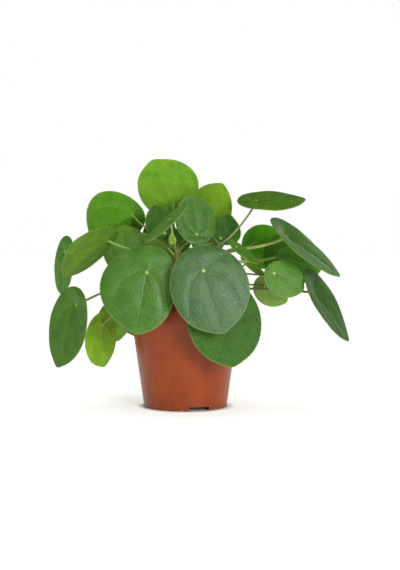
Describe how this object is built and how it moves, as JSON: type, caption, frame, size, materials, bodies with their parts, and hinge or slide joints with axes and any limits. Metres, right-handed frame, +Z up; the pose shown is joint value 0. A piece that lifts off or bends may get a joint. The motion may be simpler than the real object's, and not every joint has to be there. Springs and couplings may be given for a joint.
{
  "type": "potted chinese money plant",
  "caption": "House plant with round flat leaves, each on its own thin stalk from a short upright stem, growing in soil in a tapered terracotta-coloured plastic pot.",
  "frame": {"origin": "centre of the pot's flat underside, which stands on the surface", "axes": "+Z up along the pot's axis, -Y towards the side that the picture shows, +X to the right of it"},
  "size_m": [0.3154, 0.2221, 0.26],
  "materials": {
    "pot_plastic": "satin",
    "soil": "matte",
    "stem": "matte",
    "leaf": "satin"
  },
  "bodies": {
    "root": {"pot": "pot_plastic", "soil": "soil", "stem": "stem", "leaf_front_left": "leaf", "leaf_front_right": "leaf", "leaf_front_low_right": "leaf", "leaf_far_left_low": "leaf", "leaf_left_hanging": "leaf", "leaf_left_behind": "leaf", "leaf_left_slanted": "leaf", "leaf_far_left_upright": "leaf", "leaf_left_inner": "leaf", "leaf_back_left_high": "leaf", "leaf_top_back": "leaf", "leaf_crown_narrow": "leaf", "leaf_crown_left": "leaf", "leaf_inner_left": "leaf", "leaf_young_folded": "leaf", "leaf_crown_front": "leaf", "leaf_crown_right": "leaf", "leaf_crown_back_right": "leaf", "leaf_right_top": "leaf", "leaf_right_long": "leaf", "leaf_right_back_high": "leaf", "leaf_right_back_low": "leaf", "leaf_right_small": "leaf", "leaf_right_inner_back": "leaf", "leaf_right_round": "leaf", "leaf_right_under": "leaf", "leaf_far_right_low": "leaf", "leaf_rear_low_left": "leaf", "leaf_rear_low_right": "leaf", "leaf_rear_middle": "leaf", "leaf_rear_left": "leaf", "leaf_rear_high_left": "leaf", "leaf_rear_high_right": "leaf"}
  },
  "joints": []
}
